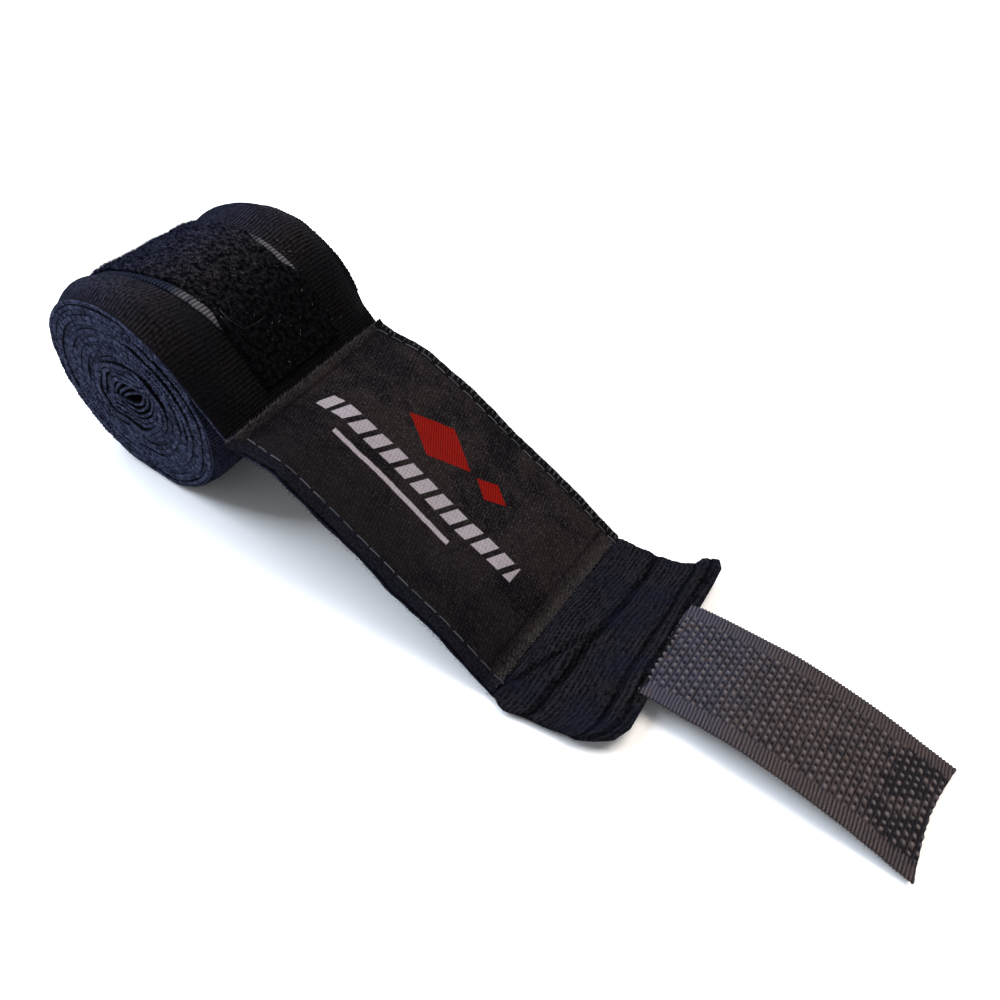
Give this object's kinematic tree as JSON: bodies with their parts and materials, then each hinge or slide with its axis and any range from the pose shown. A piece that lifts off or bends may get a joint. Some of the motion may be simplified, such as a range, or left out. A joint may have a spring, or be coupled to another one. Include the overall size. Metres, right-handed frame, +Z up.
{
  "type": "boxing hand wrap",
  "caption": "Rolled elastic hand wrap lying on its side, with its label end, gathered hem and hook tab drawn out and a loop patch over the roll.",
  "frame": {"origin": "centre of the object's box on the surface it lies on", "axes": "+X along the drawn-out end towards the hook tab, +Y across the band along the roll's axis, +Z up"},
  "size_m": [0.2114, 0.05, 0.055],
  "materials": {
    "band_weave": "matt black crosswise-ribbed elastic cotton weave, blue-black and fuzzy at its selvedges",
    "end_knit": "matt navy-black ribbed knit, gathered, with a thick rolled hem",
    "label_weave": "charcoal satin weave with a slight sheen, overlocked along both long edges",
    "thread": "bluish grey sewing thread",
    "loop_web": "ribbed woven selvedge of the loop tape",
    "loop_pile": "matt, fuzzy brushed loop pile with lint and fine hairs",
    "hook_web": "grey woven nylon tape with ribbed selvedges, rows of small bumps and navy stains near its end",
    "hook_field": "rows of fine nylon hooks on the tab's underside"
  },
  "bodies": {
    "roll": {"band_roll": "band_weave", "thumb_loop": "band_weave", "thumb_loop_bartack": "thread", "loop_patch_web": "loop_web", "loop_patch_pile": "loop_pile", "loop_patch_stitch_near": "thread", "loop_patch_stitch_far": "thread"},
    "label_1": {"band_tail_1": "band_weave", "label_panel_1": "label_weave", "label_stitch_near_1": "thread", "label_stitch_far_1": "thread", "label_stitch_start": "thread"},
    "label_2": {"band_tail_2": "band_weave", "label_panel_2": "label_weave", "label_stitch_near_2": "thread", "label_stitch_far_2": "thread"},
    "label_3": {"band_tail_3": "band_weave", "label_panel_3": "label_weave", "label_stitch_near_3": "thread", "label_stitch_far_3": "thread"},
    "label_4": {"band_tail_4": "band_weave", "label_panel_4": "label_weave", "label_stitch_near_4": "thread", "label_stitch_far_4": "thread"},
    "label_5": {"band_tail_5": "band_weave", "label_panel_5": "label_weave", "label_stitch_near_5": "thread", "label_stitch_far_5": "thread", "label_stitch_end": "thread"},
    "hem_flat": {"band_end_flat": "end_knit"},
    "hem_end": {"band_end_gathered": "end_knit", "end_hem": "end_knit", "hem_stitch": "thread"},
    "tab_root": {"hook_tab_hooks_root": "hook_field", "hook_tab_web_root": "hook_web"},
    "tab_fold": {"hook_tab_hooks_fold": "hook_field", "hook_tab_web_fold": "hook_web"},
    "tab_middle": {"hook_tab_hooks_middle": "hook_field", "hook_tab_web_middle": "hook_web"},
    "tab_end": {"hook_tab_hooks_end": "hook_field", "hook_tab_web_end": "hook_web"}
  },
  "joints": [
    {"name": "tail_wrap", "type": "hinge", "parent": "roll", "child": "label_1", "pos_m": [-0.04224, 0, 0.0306], "axis": [0, 1, 0], "range_deg": [0, 107.3]},
    {"name": "label_bend_2", "type": "hinge", "parent": "label_1", "child": "label_2", "pos_m": [-0.02666, 0, 0.02978], "axis": [0, 1, 0], "range_deg": [-3.86, 0]},
    {"name": "label_bend_3", "type": "hinge", "parent": "label_2", "child": "label_3", "pos_m": [-0.01276, 0, 0.0227], "axis": [0, 1, 0], "range_deg": [0, 25.16]},
    {"name": "label_bend_4", "type": "hinge", "parent": "label_3", "child": "label_4", "pos_m": [0.00088, 0, 0.01514], "axis": [0, 1, 0], "range_deg": [0, 34.82]},
    {"name": "label_bend_5", "type": "hinge", "parent": "label_4", "child": "label_5", "pos_m": [0.01513, 0, 0.00879], "axis": [0, 1, 0], "range_deg": [0, 26.86]},
    {"name": "hem_bend", "type": "hinge", "parent": "label_5", "child": "hem_flat", "pos_m": [0.02836, 0, 0.00053], "axis": [0, 1, 0], "range_deg": [0, 74.23]},
    {"name": "hem_end_bend", "type": "hinge", "parent": "hem_flat", "child": "hem_end", "pos_m": [0.04106, 0, 0.00053], "axis": [0, 1, 0], "range_deg": [0, 43.92]},
    {"name": "tab_root_bend", "type": "hinge", "parent": "hem_end", "child": "tab_root", "pos_m": [0.05368, 0, 0.00367], "axis": [0, 1, 0], "range_deg": [0, 26.84]},
    {"name": "tab_fold_bend", "type": "hinge", "parent": "tab_root", "child": "tab_fold", "pos_m": [0.07111, 0, 0.0052], "axis": [0, 1, 0], "range_deg": [0, 21.87]},
    {"name": "tab_peel", "type": "hinge", "parent": "tab_fold", "child": "tab_middle", "pos_m": [0.07361, 0, 0.0071], "axis": [0, -1, 0], "range_deg": [0, 80]},
    {"name": "tab_end_bend", "type": "hinge", "parent": "tab_middle", "child": "tab_end", "pos_m": [0.09002, 0, 0.00347], "axis": [0, 1, 0], "range_deg": [0, 21.57]}
  ],
  "couplings": [
    {"joint": "label_bend_2", "follows": "tail_wrap", "ratio": -0.0313},
    {"joint": "label_bend_3", "follows": "tail_wrap", "ratio": 0.2039},
    {"joint": "label_bend_4", "follows": "tail_wrap", "ratio": 0.2822},
    {"joint": "label_bend_5", "follows": "tail_wrap", "ratio": 0.2177},
    {"joint": "hem_bend", "follows": "tail_wrap", "ratio": 0.6016},
    {"joint": "hem_end_bend", "follows": "tail_wrap", "ratio": 0.3559},
    {"joint": "tab_root_bend", "follows": "tail_wrap", "ratio": 0.2175},
    {"joint": "tab_fold_bend", "follows": "tail_wrap", "ratio": 0.1772},
    {"joint": "tab_end_bend", "follows": "tail_wrap", "ratio": 0.1748}
  ]
}
